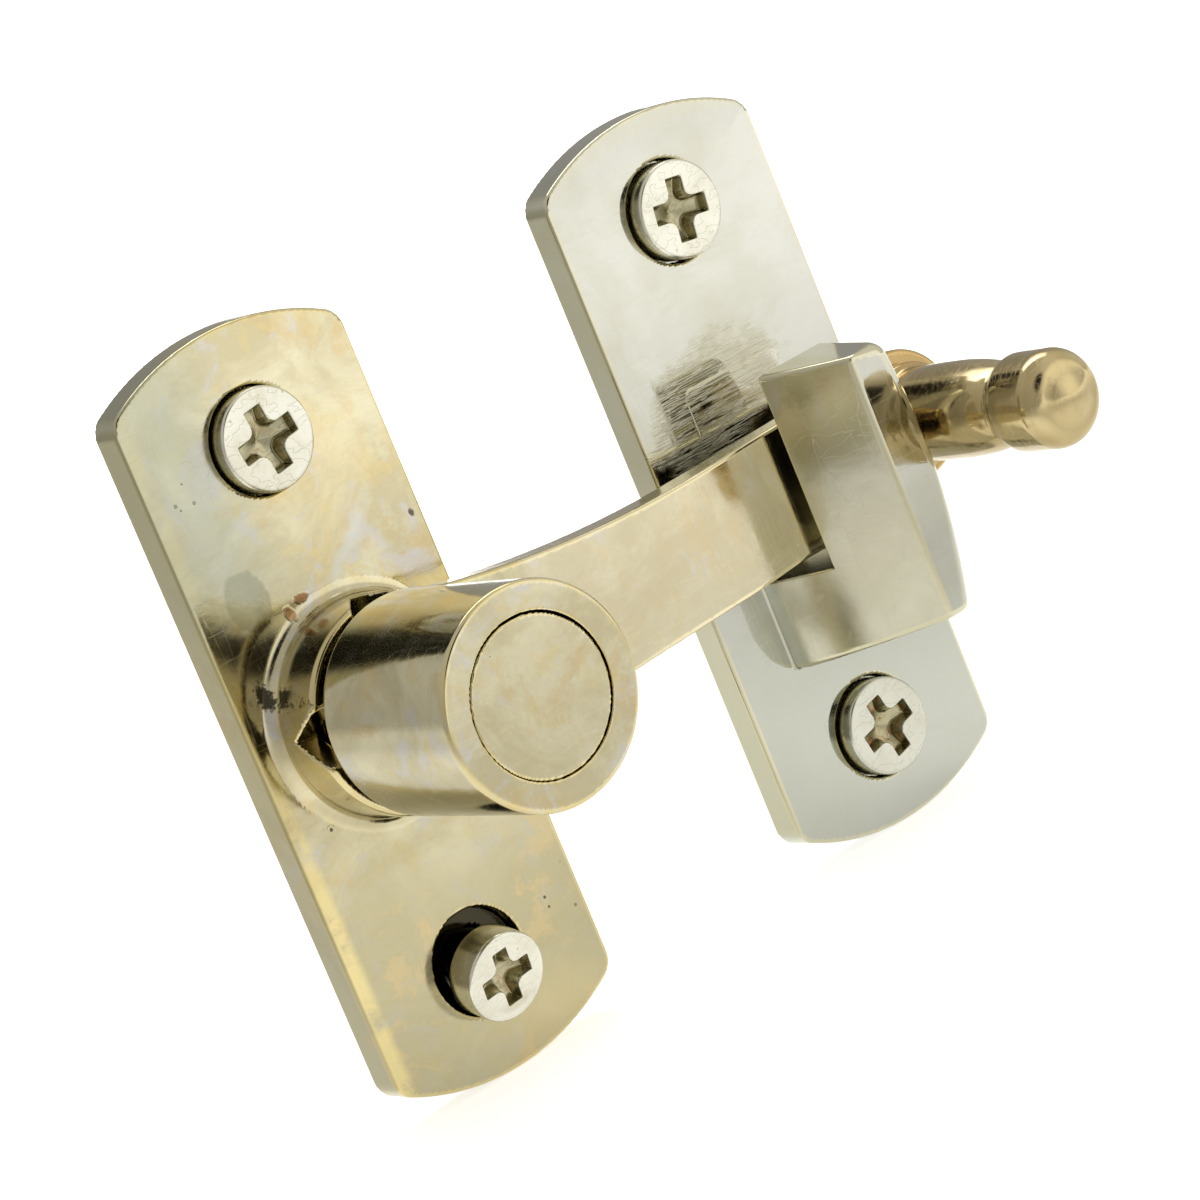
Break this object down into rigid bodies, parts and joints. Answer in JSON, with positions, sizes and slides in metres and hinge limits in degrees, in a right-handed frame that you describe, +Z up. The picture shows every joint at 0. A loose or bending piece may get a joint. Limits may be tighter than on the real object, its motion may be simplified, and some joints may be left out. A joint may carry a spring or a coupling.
{
  "type": "casement window stay",
  "caption": "Two-part casement fastener: a pivoting arm on a plate drops into the open slot of a hooked keep and is worked by a small turned pull knob.",
  "frame": {"origin": "on the arm's pivot axis, where the back of the pivot plate meets the wood", "axes": "+X across from the pivot plate to the keep, +Z up along the plates' long axis, -Y out of the wall towards the user"},
  "size_m": [0.0598, 0.0405, 0.0536],
  "materials": {
    "aged_nickel": "polished nickel plate on brass, aged and tarnished to a warm champagne",
    "bright_nickel": "polished nickel plate on brass, bright with fine scratches",
    "knob_brass": "turned and polished brass, lightly browned",
    "screw_steel": "nickel plated steel, satin",
    "spring_steel": "drawn spring steel wire"
  },
  "bodies": {
    "pivot_unit": {"pivot_plate": "aged_nickel", "pivot_pin": "aged_nickel", "coil_spring": "spring_steel", "thrust_washer": "spring_steel", "upper_pivot_plate_screw": "screw_steel", "lower_pivot_plate_screw": "screw_steel"},
    "arm": {"arm": "aged_nickel", "pull_knob": "knob_brass"},
    "keep": {"keep": "bright_nickel", "upper_keep_screw": "screw_steel", "lower_keep_screw": "screw_steel"}
  },
  "joints": [
    {"name": "arm_swing", "type": "hinge", "parent": "pivot_unit", "child": "arm", "pos_m": [0, -0.015, 0], "axis": [0, -1, 0], "range_deg": [-0.7, 180]},
    {"name": "keep_release", "type": "slide", "parent": "pivot_unit", "child": "keep", "axis": [0, 0, -1], "range_m": [0, 0.03]}
  ]
}
